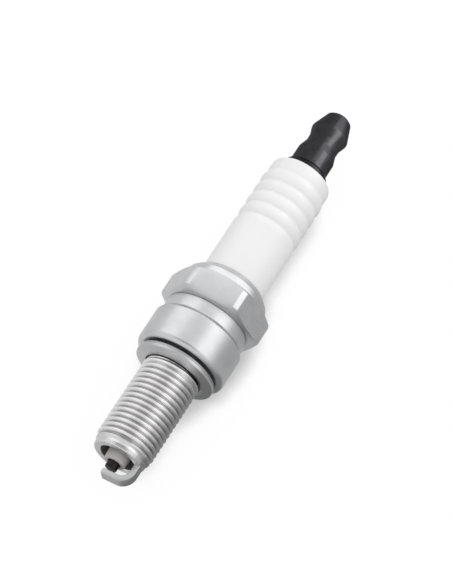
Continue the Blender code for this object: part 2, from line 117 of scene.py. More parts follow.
class ShellSizes(bpy.types.PropertyGroup):
    """Thread, seat, barrel, hexagon and rolled rim of the metal shell."""

    reach: length("Reach", "From the gasket seat to the end of the thread", -SHELL_LOW.x)
    thread_radius: length("Thread radius", "Outer radius of the thread", 0.0050)
    thread_root: length("Thread root", "Radius at the bottom of the thread", 0.00439)
    thread_pitch: length("Thread pitch", "From one thread crest to the next", 0.0010)
    lead_length: length("Thread lead", "Length over which the thread rises from the rim", 0.0024)
    run_out: length("Thread run-out", "Distance of the last thread from the seat", 0.00185)
    neck_radius: length("Neck radius", "Plain neck that the gasket sits around", 0.00432)
    nose_bore: length("Nose bore", "Radius of the bore around the insulator's nose", 0.00315)
    ledge_bore: length("Ledge bore", "Radius of the ledge that the insulator rests on", 0.0028)
    ledge_start: length("Ledge start", "Lower end of the ledge on the axis", -0.0100)
    stem_bore: length("Stem bore", "Radius of the bore above the ledge", 0.0035)
    flange_bore: length("Flange bore", "Radius of the bore around the insulator's flange", 0.0064)
    barrel_radius: length("Barrel radius", "Radius of the plain barrel above the seat", 0.00784)
    barrel_top: length("Barrel top", "Where the barrel starts to taper to the waist", 0.00615)
    waist_radius: length("Waist radius", "Radius of the waist under the hexagon", 0.0073)
    waist_start: length("Waist start", "Where the barrel's taper ends", 0.00685)
    hex_width: length("Hexagon width", "Size across the hexagon's flats", 2.0 * SHELL_HIGH.z)
    hex_corner: length("Hexagon corner", "Radius of the turned corners of the hexagon", 0.00895)
    hex_bottom: length("Hexagon bottom", "Where the hexagon starts", 0.0091)
    hex_flat_top: length("Flat top", "Upper end of a flat at its middle", 0.01395)
    rim_radius: length("Rolled rim radius", "Radius of the rim rolled over the insulator", 0.0069)
    rim_top: length("Rolled rim top", "Upper end of the rolled rim", SHELL_HIGH.x)
    rim_mouth: length("Rolled rim mouth", "Radius of the rim's mouth", 0.00575)


class GasketSizes(bpy.types.PropertyGroup):
    """Folded ring under the seat."""

    back: length("Back", "Face towards the seat", GASKET_HIGH.x)
    front: length("Front", "Face towards the firing end", GASKET_LOW.x)
    radius: length("Radius", "Outer radius of the fold", GASKET_HIGH.z)
    bore: length("Bore", "Radius of the wide bore", 0.00504)
    lip: length("Lip", "Radius of the inner lip that keeps the ring on", 0.0047)
    lip_thickness: length("Lip thickness", "Thickness of the sheet at the lip", 0.0004)


class InsulatorSizes(bpy.types.PropertyGroup):
    """Ceramic body from the nose to the ribbed head."""

    tip: length("Nose tip", "End of the nose on the axis", INSULATOR_LOW.x)
    tip_radius: length("Nose tip radius", "Radius of the nose at its end", 0.00185)
    nose_radius: length("Nose radius", "Radius of the nose at the ledge", 0.00235)
    stem_radius: length("Stem radius", "Radius above the ledge", 0.00315)
    flange_radius: length("Flange radius", "Widest radius, inside the shell", 0.0061)
    head_radius: length("Head radius", "Radius of the smooth head above the shell", 0.0055)
    rib_radius: length("Rib radius", "Radius over the ribs", 0.00556)
    groove_radius: length("Groove radius", "Radius at the bottom between the ribs", 0.00524)
    rib_start: length("First groove", "Place of the first groove on the axis", 0.02805)
    rib_pitch: length("Rib pitch", "From one groove to the next", 0.00235)
    land_radius: length("Land radius", "Radius above the last groove", 0.00532)
    top: length("Top", "Upper end on the axis", INSULATOR_TOP)
    shoulder: length("Shoulder", "Radius of the rounded upper edge", 0.0018)
    electrode_bore: length("Electrode bore", "Radius of the bore in the nose", 0.0012)
    stud_bore: length("Stud bore", "Radius of the bore for the stud and the seals", 0.0020)


class ElectrodeSizes(bpy.types.PropertyGroup):
    """Centre electrode and the side strap that crosses its end."""

    tip: length("Tip", "End of the centre electrode on the axis", ELECTRODE_LOW.x)
    head_end: length("Head end", "Inner end of the centre electrode", ELECTRODE_HIGH.x)
    radius: length("Radius", "Radius of the centre electrode", 0.00105)
    head_radius: length("Head radius", "Radius of the head inside the insulator", 0.0017)
    spark_gap: length("Spark gap", "From the electrode's end to the strap", 0.0007)
    strap_width: length("Strap width", "Width of the side strap", 0.0021)
    strap_thickness: length("Strap thickness", "Thickness of the side strap", 0.0010)
    strap_bend: length("Strap bend", "Radius of the bend at the strap's middle line", 0.0019)
    strap_root: length("Strap root", "Radius at which the strap stands on the rim", 0.0038)
    strap_overhang: length("Strap overhang", "How far the strap runs past the axis", 0.0008)
    strap_turn: angle("Strap turn", "Turn of the strap about the axis from straight up", 83.4)


class TerminalSizes(bpy.types.PropertyGroup):
    """Threaded stud, washer and screw-on nut."""

    stud_start: length("Stud start", "Sealed end of the stud", STUD_LOW.x)
    stud_end: length("Stud end", "Free end of the stud", STUD_HIGH.x)
    thread_start: length("Thread start", "Where the stud's thread starts", 0.0417)
    thread_radius: length("Thread radius", "Outer radius of the stud's thread", 0.0020)
    thread_root: length("Thread root", "Radius at the bottom of the stud's thread", 0.00157)
    thread_pitch: length("Thread pitch", "Pitch of the stud's thread", 0.0007)
    washer_base: length("Washer base", "Lower face of the washer", WASHER_BASE)
    washer_top: length("Washer top", "Upper face of the washer", WASHER_TOP)
    washer_radius: length("Washer radius", "Outer radius of the washer", WASHER_HIGH.z)
    washer_bore: length("Washer bore", "Bore radius of the washer", 0.0023)
    nut_base: length("Nut base", "Lower face of the nut", WASHER_TOP)
    nut_top: length("Nut top", "Blunt end of the nut", NUT_HIGH.x)
    nut_radius: length("Nut radius", "Radius of the nut's barrel", 0.00330)
    nut_waist: length("Nut waist", "Radius of the waist that a cap snaps into", 0.0028)
    nut_head: length("Nut head", "Radius of the nut's round head", 0.00326)
    nut_bore: length("Nut bore", "Radius of the nut's bore", 0.0021)
    nut_bore_depth: length("Nut bore depth", "Depth of the nut's bore", 0.0078)


class FinishColours(bpy.types.PropertyGroup):
    """Base colours of the visible finishes."""

    plate: colour("Plate", "Bright plated steel of the barrel and hexagon", (0.60, 0.61, 0.62))
    thread: colour("Thread", "Plated steel of the thread", (0.84, 0.83, 0.835))
    bore: colour("Bore", "Dull scale inside the shell's bore", (0.16, 0.15, 0.15))
    gasket: colour("Gasket", "Plated sheet steel of the gasket", (0.52, 0.525, 0.53))
    glaze: colour("Glaze", "White glazed ceramic", (0.88, 0.88, 0.88))
    nose: colour("Nose", "Bare ceramic of the nose", (0.62, 0.58, 0.57))
    strap: colour("Strap", "Nickel alloy of the side strap", (0.52, 0.53, 0.53))
    electrode: colour("Electrode", "Dark alloy of the centre electrode", (0.035, 0.030, 0.030))
    black: colour("Black steel", "Black oxide of the terminal nut", (0.086, 0.086, 0.094))
    washer: colour("Washer", "Black oxide of the terminal washer", (0.045, 0.045, 0.049))
    stud: colour("Stud", "Plain steel of the terminal stud", (0.45, 0.44, 0.42))


class StageSettings(bpy.types.PropertyGroup):
    """Camera and lamps."""

    azimuth: angle("Camera azimuth", "Turn of the camera about the vertical", -62.95)
    elevation: angle("Camera elevation", "Height of the camera above the horizon", 62.35)
    roll: angle("Camera roll", "Turn of the camera about its line of sight", 3.39)
    distance: length("Camera distance", "From the gasket seat to the camera", 0.5756)
    focal_pixels: FloatProperty(name="Focal length in pixels", default=3609.0,
                                description="Focal length as a count of the picture's pixels")
    seat_right: length("Seat to the right", "Gasket seat's place right of the picture's centre", -0.0076)
    seat_up: length("Seat upwards", "Gasket seat's place above the picture's centre", -0.0117)
    key: brightness("Key light", "What the softbox on the right adds to the white around it", 0.65)
    side: brightness("Side light", "What the softbox on the left adds to the white around it", 0.44)
    back: brightness("Back light", "What the softbox past the terminal adds to the white around it", 0.55)
    fill: brightness("Fill light", "Even light from all round on the object", 0.83)


def softened(outline, steps):
    """Outline whose (x, radius, fillet) points are rounded and whose (x, radius) points stay sharp."""
    longest_cut = 0.49
    points = []
    for index, (x, radius, *fillet) in enumerate(outline):
        if not fillet:
            points.append((x, radius))
            continue
        corner = Vector((x, radius))
        to_before = Vector(outline[index - 1][:2]) - corner
        to_after = Vector(outline[(index + 1) % len(outline)][:2]) - corner
        half = to_before.angle(to_after) / 2
        cut = min(fillet[0] / math.tan(half), longest_cut * min(to_before.length, to_after.length))
        start = to_before.normalized() * cut
        end = to_after.normalized() * cut
        middle = (start + end).normalized() * (cut / math.cos(half))
        swing = (start - middle).angle_signed(end - middle)
        for step in range(steps + 1):
            turn = Matrix.Rotation(-swing * step / steps, 2)
            points.append(tuple(corner + middle + turn @ (start - middle)))
    return points


def chain(shape, points, closed=False):
    """Vertices and edges of an outline of (x, radius) points above the axis."""
    verts = [shape.verts.new((x, 0.0, radius)) for x, radius in points]
    pairs = list(zip(verts, verts[1:]))
    if closed:
        pairs.append((verts[-1], verts[0]))
    return verts + [shape.edges.new(pair) for pair in pairs]


def sealed(shape):
    """Merge doubles and turn the faces outwards; an open shape is an error."""
    bmesh.ops.remove_doubles(shape, verts=shape.verts, dist=MERGE)
    bmesh.ops.recalc_face_normals(shape, faces=shape.faces)
    gaps = sum(not edge.is_manifold for edge in shape.edges)
    if gaps:
        raise RuntimeError(f"the shape has {gaps} open edges")
    return shape


def turned(outline, segments, steps=5, closed=True):
    """Solid made by rounding an outline and spinning it around the axis; a ring's outline is closed."""
    shape = bmesh.new()
    bmesh.ops.spin(shape, geom=chain(shape, softened(outline, steps), closed), axis=AXIS, cent=CENTRE,
                   angle=math.tau, steps=segments, use_merge=True)
    return sealed(shape)


def thread_sheet(first, turns, pitch, root, crest, steps):
    """Open sheet of right-hand thread: one pitch of a rounded 60 degree profile spun along a helix."""
    root_flat = 0.080 * pitch
    crest_flat = 0.0675 * pitch
    rounding = 0.09 * pitch
    middle = first + pitch / 2
    profile = softened([
        (first, root),
        (first + root_flat, root, rounding),
        (middle - crest_flat, crest, rounding),
        (middle + crest_flat, crest, rounding),
        (first + pitch - root_flat, root, rounding),
        (first + pitch, root),
    ], steps=3)
    shape = bmesh.new()
    count = round(turns * steps)
    bmesh.ops.spin(shape, geom=chain(shape, profile), axis=AXIS, cent=CENTRE,
                   dvec=(pitch / steps, 0.0, 0.0), angle=math.tau * count / steps, steps=count)
    bmesh.ops.remove_doubles(shape, verts=shape.verts, dist=MERGE)
    return shape


def limit_radius(shape, limit, floor=None):
    """Pull every vertex in to limit(x) and, with a floor, out to floor(x), to fade a thread out."""
    for vert in shape.verts:
        radius = math.hypot(vert.co.y, vert.co.z)
        allowed = max(radius, floor(vert.co.x)) if floor else radius
        allowed = min(allowed, limit(vert.co.x))
        vert.co.y *= allowed / radius
        vert.co.z *= allowed / radius


def trim(shape, x, side):
    """Cut a sheet square at x, drop what lies past it towards side, and return the cut edge."""
    everything = [*shape.verts, *shape.edges, *shape.faces]
    cut = bmesh.ops.bisect_plane(shape, geom=everything, dist=1e-7, plane_co=(x, 0.0, 0.0),
                                 plane_no=(side, 0.0, 0.0), clear_outer=True)
    return [item for item in cut["geom_cut"] if isinstance(item, bmesh.types.BMEdge)]


def extrude(shape, edges):
    """Extrude edges in place and return the new vertices with the edges that join them."""
    made = bmesh.ops.extrude_edge_only(shape, edges=edges)["geom"]
    verts = {item for item in made if isinstance(item, bmesh.types.BMVert)}
    far_edges = [item for item in made
                 if isinstance(item, bmesh.types.BMEdge) and verts.issuperset(item.verts)]
    return verts, far_edges


def pushed(shape, edges, vec):
    """Extrude edges along a vector and return the far edges."""
    verts, far_edges = extrude(shape, edges)
    bmesh.ops.translate(shape, verts=list(verts), vec=vec)
    return far_edges


def extend(shape, edges, stations):
    """Carry an open round edge on through stations, each (x, radius) or a function of the turn about X."""
    for station in stations:
        verts, edges = extrude(shape, edges)
        for vert in verts:
            turn = math.atan2(vert.co.y, vert.co.z)
            x, radius = station(turn) if callable(station) else station
            vert.co = (x, radius * math.sin(turn), radius * math.cos(turn))
    return edges


def bevel(shape, edges, width, segments):
    bmesh.ops.bevel(shape, geom=edges, offset=width, offset_type="OFFSET", affect="EDGES", segments=segments,
                    profile=0.5, material=-1, clamp_overlap=True)


def add_object(name, shape, materials):
    """Turn a shape into an object of the scene."""
    mesh = bpy.data.meshes.new(name)
    shape.to_mesh(mesh)
    shape.free()
    for material in materials:
        mesh.materials.append(material)
    made = bpy.data.objects.new(name, mesh)
    bpy.context.scene.collection.objects.link(made)
    return made


def add_piece(name, shape, finishes, node, body="plug_body"):
    """Make the piece's object, let it ride on its body and stand for its node."""
    piece = add_object(name, shape, finishes)
    piece.data.shade_smooth()
    piece.data.set_sharp_from_angle(angle=SMOOTH_ANGLE)
    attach(piece, body)
    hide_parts(node)


def add_node(tree, kind, inputs=None, **settings):
    """Node whose inputs take a plain value or a link from another node's output."""
    made = tree.nodes.new(kind)
    for setting, value in settings.items():
        setattr(made, setting, value)
    for socket, value in (inputs or {}).items():
        if isinstance(value, bpy.types.NodeSocket):
            tree.links.new(value, made.inputs[socket])
        else:
            made.inputs[socket].default_value = value
    return made


def map_range(tree, value, start, end):
    """Carry a value from the range start[0] to end[0] over to the range start[1] to end[1]."""
    mapped = add_node(tree, "ShaderNodeMapRange", {"Value": value, "From Min": start[0], "From Max": end[0],
                                                   "To Min": start[1], "To Max": end[1]})
    return mapped.outputs["Result"]


def combine(tree, operation, first, second):
    return add_node(tree, "ShaderNodeMath", {0: first, 1: second}, operation=operation).outputs[0]


def new_finish(name, metallic, roughness):
    material = bpy.data.materials.new(name)
    material.use_nodes = True
    shader = material.node_tree.nodes["Principled BSDF"]
    shader.inputs["Metallic"].default_value = metallic
    shader.inputs["Roughness"].default_value = roughness
    return material, material.node_tree


def link_shader(tree, socket, value):
    tree.links.new(value, tree.nodes["Principled BSDF"].inputs[socket])


def grain(tree, per_mm, detail=3.0, roughness=0.5):
    """Noise over the piece; per_mm is how many grains fit in a millimetre along X, Y and Z."""
    place = add_node(tree, "ShaderNodeTexCoord").outputs["Object"]
    scale = tuple(1000.0 * count for count in per_mm)
    mapped = add_node(tree, "ShaderNodeMapping", {"Vector": place, "Scale": scale})
    noise = add_node(tree, "ShaderNodeTexNoise", {"Vector": mapped.outputs["Vector"], "Scale": 1.0,
                                                  "Detail": detail, "Roughness": roughness})
    return noise.outputs["Fac"]


# Most of a noise lies between these two values.
NOISE_LOW = 0.3
NOISE_HIGH = 0.7


def spread(tree, factor, low, high):
    """Stretch the middle of a noise to the range from low to high."""
    return map_range(tree, factor, (NOISE_LOW, low), (NOISE_HIGH, high))


def tint(tree, factor, base, dark):
    """Vary the colour with a noise, and on the thread painted shade, between a base and a darker shade."""
    ramp = add_node(tree, "ShaderNodeValToRGB", {"Fac": factor})
    low, high = ramp.color_ramp.elements
    low.position, high.position = NOISE_LOW, NOISE_HIGH
    low.color = (*(channel * dark for channel in base), 1.0)
    high.color = (*base, 1.0)
    link_shader(tree, "Base Color", ramp.outputs["Color"])


def polish(tree, factor, shine):
    """Vary the roughness with a noise between the two values of a shine."""
    link_shader(tree, "Roughness", spread(tree, factor, *shine))


def roughen(tree, height, strength, depth):
    """Bump of a real depth in metres."""
    bump = add_node(tree, "ShaderNodeBump", {"Height": height, "Strength": strength, "Distance": depth})
    link_shader(tree, "Normal", bump.outputs["Normal"])


def metal_finish(name, base, shine, streaks, line_depth, dark=0.93):
    """Metal with fine lines, a slightly cloudy colour and an uneven shine between two roughness values."""
    material, tree = new_finish(name, metallic=1.0, roughness=shine[0])
    clouds = grain(tree, (0.45, 0.45, 0.45), detail=4.0)
    lines = grain(tree, streaks, detail=4.0, roughness=0.65)
    tint(tree, clouds, base, dark)
    polish(tree, lines, shine)
    roughen(tree, lines, 0.5, line_depth)
    return material


def thread_finish(name, base, sizes):
    """Plated thread with painted shade in its roots, lighter on its crests and on the lead at the rim."""
    # Levels of the painted shade factor: deep shade in the roots, none on the crests, light shade on the
    # lead.
    root_shade_level, crest_shade_level, lead_shade_level = 0.25, 0.85, 0.52
    uneven, dark, line_depth = 0.08, 0.52, 0.00001
    shine = (0.22, 0.34)
    lead_end = sizes.lead_length - sizes.reach
    lead_middle = sizes.lead_length / 2 - sizes.reach
    material, tree = new_finish(name, metallic=1.0, roughness=0.28)
    place = add_node(tree, "ShaderNodeTexCoord").outputs["Object"]
    across = add_node(tree, "ShaderNodeVectorMath", {0: place, 1: (0.0, 1.0, 1.0)}, operation="MULTIPLY")
    radius = add_node(tree, "ShaderNodeVectorMath", {0: across.outputs[0]}, operation="LENGTH")
    # Painted shade: the colour darkens with the radius towards the roots, in place of the shade in the
    # grooves.
    height = map_range(tree, radius.outputs["Value"], (sizes.thread_root, root_shade_level),
                       (sizes.thread_radius, crest_shade_level))
    along = add_node(tree, "ShaderNodeSeparateXYZ", {0: place}).outputs["X"]
    # Near the rim the lead is lifted partly out of the painted root shade.
    lead = map_range(tree, along, (lead_middle, lead_shade_level), (lead_end, 0.0))
    painted_shade_factor = combine(tree, "MAXIMUM", height, lead)
    lines = grain(tree, (9.0, 0.4, 0.4), detail=4.0, roughness=0.65)
    cloudy = combine(tree, "ADD", painted_shade_factor, spread(tree, lines, -uneven, uneven))
    tint(tree, cloudy, base, dark)
    polish(tree, lines, shine)
    roughen(tree, lines, 0.5, line_depth)
    return material


def glazed_finish(name, base):
    """White gloss glaze with a faint waviness and a few cloudy patches."""
    material, tree = new_finish(name, metallic=0.0, roughness=0.36)
    tree.nodes["Principled BSDF"].inputs["IOR"].default_value = 1.5
    tint(tree, grain(tree, (0.2, 0.2, 0.2)), base, 0.975)
    roughen(tree, grain(tree, (0.9, 0.9, 0.9), detail=1.0), strength=0.25, depth=0.00001)
    return material


def bare_ceramic_finish(name, base):
    """Unglazed ceramic: matt, with a fine pale and dark speckle."""
    material, tree = new_finish(name, metallic=0.0, roughness=0.75)
    speckle = grain(tree, (7.0, 7.0, 7.0), detail=5.0, roughness=0.7)
    tint(tree, speckle, base, 0.82)
    roughen(tree, speckle, strength=0.4, depth=0.00002)
    return material


def black_oxide_finish(name, base, shine):
    """Black oxide on turned steel: faint turning lines and an uneven shine between two roughness values."""
    material, tree = new_finish(name, metallic=1.0, roughness=shine[0])
    tree.nodes["Principled BSDF"].inputs["Specular Tint"].default_value = (0.45, 0.45, 0.48, 1.0)
    lines = grain(tree, (14.0, 0.05, 0.05), detail=3.0)
    clouds = grain(tree, (0.6, 0.6, 0.6), detail=4.0)
    tint(tree, clouds, base, 0.75)
    polish(tree, clouds, shine)
    roughen(tree, lines, strength=0.5, depth=0.000012)
    return material


def matt_finish(name, base, roughness, metallic=0.0):
    """Plain grainy finish of a surface inside the plug."""
    material, tree = new_finish(name, metallic, roughness)
    speckle = grain(tree, (3.0, 3.0, 3.0), detail=4.0)
    tint(tree, speckle, base, 0.7)
    roughen(tree, speckle, strength=0.4, depth=0.00003)
    return material


class PLUG_OT_shell_thread(bpy.types.Operator):
    """Model the threaded sleeve with its lead, run-out, neck and bore"""

    bl_idname = "plug.shell_thread"
    bl_label = "Shell thread"

    def execute(self, context):
        sizes = context.scene.plug_shell
        colours = context.scene.plug_colours
        rim_edge = 0.00012
        clear = 0.00010
        run_out_slope = 4.0
        fade_length = 0.0018
        fade_height = 0.8 * (sizes.thread_radius - sizes.thread_root)
        first = -sizes.reach - sizes.thread_pitch
        turns = (sizes.reach - sizes.run_out) / sizes.thread_pitch + 2.0
        shape = thread_sheet(first, turns, sizes.thread_pitch, sizes.thread_root, sizes.thread_radius,
                             THREAD_STEPS)
        rise = (sizes.thread_radius - sizes.thread_root + clear) / sizes.lead_length

        def lead_and_run_out(x):
            at_rim = sizes.thread_root - clear + rise * (x + sizes.reach)
            at_seat = sizes.thread_root - clear - run_out_slope * (x + sizes.run_out)
            return min(sizes.thread_radius, at_rim, max(at_seat, sizes.neck_radius))

        def shallow_groove(x):
            faded = (x + sizes.run_out + fade_length) / fade_length
            return sizes.thread_root + fade_height * min(max(faded, 0.0), 1.0)

        limit_radius(shape, lead_and_run_out, shallow_groove)
        rim = trim(shape, -sizes.reach + rim_edge, -1.0)
        neck = trim(shape, -sizes.run_out + rim_edge, 1.0)
        seat_fillet = 0.0002
        half_way = 0.3 * seat_fillet
        buried = 0.0003
        ledge_end = sizes.ledge_start + 0.0010
        cone_above, cone_below = 0.0006, 0.0004
        bore = extend(shape, neck, [
            (-2.0 * seat_fillet, sizes.neck_radius),
            (-half_way, sizes.neck_radius + half_way),
            (0.0, sizes.neck_radius + seat_fillet),
            (buried, sizes.neck_radius + seat_fillet),
            (buried, sizes.stem_bore),
            (ledge_end + cone_above, sizes.stem_bore),
            (ledge_end, sizes.ledge_bore),
            (sizes.ledge_start, sizes.ledge_bore),
            (sizes.ledge_start - cone_below, sizes.nose_bore),
            (-sizes.reach + rim_edge, sizes.nose_bore),
            (-sizes.reach, sizes.nose_bore + rim_edge),
        ])
        rim = extend(shape, rim, [(-sizes.reach, sizes.thread_root - clear - rim_edge)])
        bmesh.ops.bridge_loops(shape, edges=bore + rim)
        sealed(shape)
        for face in shape.faces:
            middle = face.calc_center_median()
            inside = math.hypot(middle.y, middle.z) < sizes.nose_bore + rim_edge / 2
            face.material_index = int(inside and middle.x > -sizes.reach + rim_edge)
        finishes = [thread_finish("thread_plate", colours.thread, sizes),
                    matt_finish("bore_scale", colours.bore, roughness=0.60)]
        add_piece("shell_thread", shape, finishes, "metal_shell")
        return {"FINISHED"}


class PLUG_OT_shell_barrel(bpy.types.Operator):
    """Model the plain barrel with its seat, taper and waist"""

    bl_idname = "plug.shell_barrel"
    bl_label = "Shell barrel"

    def execute(self, context):
        sizes = context.scene.plug_shell
        buried = sizes.hex_bottom + 0.0003
        groove = 0.00012
        seat_wall, cone_end = 0.0012, 0.0022
        shape = turned([
            (0.0, sizes.neck_radius - groove),
            (0.0, sizes.barrel_radius, 0.0009),
            (sizes.barrel_top, sizes.barrel_radius, 0.00025),
            (sizes.waist_start, sizes.waist_radius, 0.00035),
            (sizes.hex_bottom - groove, sizes.waist_radius, 0.00004),
            (sizes.hex_bottom - groove, sizes.waist_radius - groove),
            (buried, sizes.waist_radius - groove),
            (buried, sizes.flange_bore),
            (cone_end, sizes.flange_bore),
            (seat_wall, sizes.neck_radius - groove),
        ], FINE_SEGMENTS, steps=7)
        finish = metal_finish("barrel_plate", context.scene.plug_colours.plate, shine=(0.28, 0.40),
                              streaks=(16.0, 0.05, 0.05), line_depth=0.000008, dark=0.90)
        add_piece("shell_barrel", shape, [finish], "metal_shell")
        return {"FINISHED"}


class PLUG_OT_shell_hexagon(bpy.types.Operator):
    """Model the hexagon with its turned corners and chamfered ends"""

    bl_idname = "plug.shell_hexagon"
    bl_label = "Shell hexagon"

    def execute(self, context):
        sizes = context.scene.plug_shell
        foot_chamfer, top_chamfer, edge_bevel = 0.0008, 0.0006, 0.00008
        flat = sizes.hex_width / 2
        half_flat = math.acos(flat / sizes.hex_corner)
        sixth = math.tau / 6
        foot = sizes.waist_radius + 0.0001
        foot_slope = foot_chamfer / (sizes.hex_corner - foot)
        top_slope = top_chamfer / (sizes.hex_corner - flat)
        top_radius = sizes.rim_radius + 0.00085
        top = sizes.hex_flat_top + top_slope * (flat - top_radius)
        inner = sizes.flange_bore + 0.0002

        def face_radius(turn):
            off_middle = (turn + sixth / 2) % sixth - sixth / 2
            return min(sizes.hex_corner, flat / math.cos(off_middle))

        def chamfered(x, slope, level_radius):
            def edge(turn):
                radius = face_radius(turn)
                return x + slope * (radius - level_radius), radius
            return edge

        turns = []
        for side in range(6):
            turns.append((side - 0.5) * sixth)
            turns += [side * sixth + half_flat * (2.0 * i / FLAT_STEPS - 1.0) for i in range(FLAT_STEPS + 1)]
        shape = bmesh.new()
        ring = bmesh.ops.create_circle(shape, segments=len(turns), radius=inner)["verts"]
        for vert, turn in zip(ring, turns):
            vert.co = (sizes.hex_bottom, inner * math.sin(turn), inner * math.cos(turn))
        start = list(shape.edges)
        end = extend(shape, start, [
            (sizes.hex_bottom, foot),
            chamfered(sizes.hex_bottom, foot_slope, foot),
            chamfered(sizes.hex_flat_top, -top_slope, flat),
            (top, top_radius),
            (top, inner),
        ])
        bmesh.ops.bridge_loops(shape, edges=start + end)
        sealed(shape)
        outside = flat - 0.00005
        sharp = [edge for edge in shape.edges if edge.calc_face_angle() > math.radians(15)
                 and min(math.hypot(vert.co.y, vert.co.z) for vert in edge.verts) > outside]
        bevel(shape, sharp, edge_bevel, segments=2)
        finish = metal_finish("hexagon_plate", context.scene.plug_colours.plate, shine=(0.26, 0.36),
                              streaks=(3.0, 3.0, 3.0), line_depth=0.000003)
        add_piece("shell_hexagon", sealed(shape), [finish], "metal_shell")
        return {"FINISHED"}


class PLUG_OT_shell_rim(bpy.types.Operator):
    """Model the rim rolled over the insulator's shoulder"""

    bl_idname = "plug.shell_rim"
    bl_label = "Rolled rim"

    def execute(self, context):
        sizes = context.scene.plug_shell
        base = sizes.hex_flat_top - 0.00015
        shoulder = sizes.rim_top - 0.00135
        roll = sizes.rim_top - 0.0002
        packing_top = sizes.rim_top - 0.0011
        cone_start = packing_top - 0.0004
        shape = turned([
            (base, sizes.rim_radius + 0.00095),
            (shoulder, sizes.rim_radius + 0.0003, 0.0003),
            (roll, sizes.rim_radius - 0.00075, 0.0003),
            (sizes.rim_top, sizes.rim_mouth + 0.00015, 0.0001),
            (sizes.rim_top, sizes.rim_mouth),
            (packing_top, sizes.rim_mouth),
            (cone_start, sizes.flange_bore),
            (base, sizes.flange_bore),
        ], FINE_SEGMENTS, steps=7)
        finish = metal_finish("rim_plate", context.scene.plug_colours.plate, shine=(0.18, 0.30),
                              streaks=(12.0, 0.1, 0.1), line_depth=0.000008)
        add_piece("shell_rolled_rim", shape, [finish], "metal_shell")
        return {"FINISHED"}


class PLUG_OT_side_electrode(bpy.types.Operator):
    """Model the flat strap that stands on the rim, bends square and crosses the electrode's end"""

    bl_idname = "plug.side_electrode"
    bl_label = "Side electrode"

    def execute(self, context):
        sizes = context.scene.plug_electrodes
        end_rounding, edge_bevel = 0.0003, 0.00013
        root = -context.scene.plug_shell.reach + 0.0001
        half_width = sizes.strap_width / 2
        half_thick = sizes.strap_thickness / 2
        middle = sizes.tip - sizes.spark_gap - half_thick
        bend_x = middle + sizes.strap_bend
        bend_r = sizes.strap_root - sizes.strap_bend
        shape = bmesh.new()
        corners = [(-half_width, -half_thick), (half_width, -half_thick), (half_width, half_thick),
                   (-half_width, half_thick)]
        verts = [shape.verts.new((root, y, sizes.strap_root + r)) for y, r in corners]
        section = [shape.edges.new(pair) for pair in zip(verts, verts[1:] + verts[:1])]
        section = pushed(shape, section, (bend_x - root, 0.0, 0.0))
        spun = bmesh.ops.spin(shape, geom=section, axis=(0.0, -1.0, 0.0), cent=(bend_x, 0.0, bend_r),
                              angle=math.pi / 2, steps=BEND_STEPS)["geom_last"]
        section = [item for item in spun if isinstance(item, bmesh.types.BMEdge)]
        pushed(shape, section, (0.0, 0.0, -bend_r - sizes.strap_overhang))
        bmesh.ops.holes_fill(shape, edges=shape.edges, sides=len(corners))
        sealed(shape)
        past_axis = half_thick - sizes.strap_overhang
        end_corners = [edge for edge in shape.edges if max(vert.co.z for vert in edge.verts) < past_axis
                       and edge.calc_length() > half_width]
        bevel(shape, end_corners, end_rounding, segments=4)
        sharp = [edge for edge in shape.edges if edge.calc_face_angle() > math.radians(60)]
        bevel(shape, sharp, edge_bevel, segments=3)
        bmesh.ops.rotate(shape, verts=shape.verts, cent=CENTRE,
                         matrix=Matrix.Rotation(sizes.strap_turn, 3, "X"))
        finish = metal_finish("strap_nickel", context.scene.plug_colours.strap, shine=(0.34, 0.48),
                              streaks=(2.0, 9.0, 9.0), line_depth=0.000012)
        add_piece("side_electrode", sealed(shape), [finish], "ground_electrode")
        return {"FINISHED"}


class PLUG_OT_centre_electrode(bpy.types.Operator):
    """Model the dark centre electrode with its head"""

    bl_idname = "plug.centre_electrode"
    bl_label = "Centre electrode"

    def execute(self, context):
        sizes = context.scene.plug_electrodes
        head_start = sizes.head_end - 0.0015
        neck_end = head_start - 0.0006
        core_bore = 0.00065
        core_start = sizes.tip + 0.0018
        shape = turned([
            (sizes.tip, 0.0),
            (sizes.tip, sizes.radius, 0.00012),
            (neck_end, sizes.radius, 0.0002),
            (head_start, sizes.head_radius, 0.0002),
            (sizes.head_end, sizes.head_radius, 0.0001),
            (sizes.head_end, core_bore),
            (core_start, core_bore),
            (core_start, 0.0),
        ], SMALL_SEGMENTS, closed=False)
        finish = metal_finish("dark_electrode", context.scene.plug_colours.electrode, shine=(0.35, 0.55),
                              streaks=(8.0, 2.0, 2.0), line_depth=0.000012, dark=0.6)
        add_piece("firing_electrode", shape, [finish], "centre_electrode")
        return {"FINISHED"}


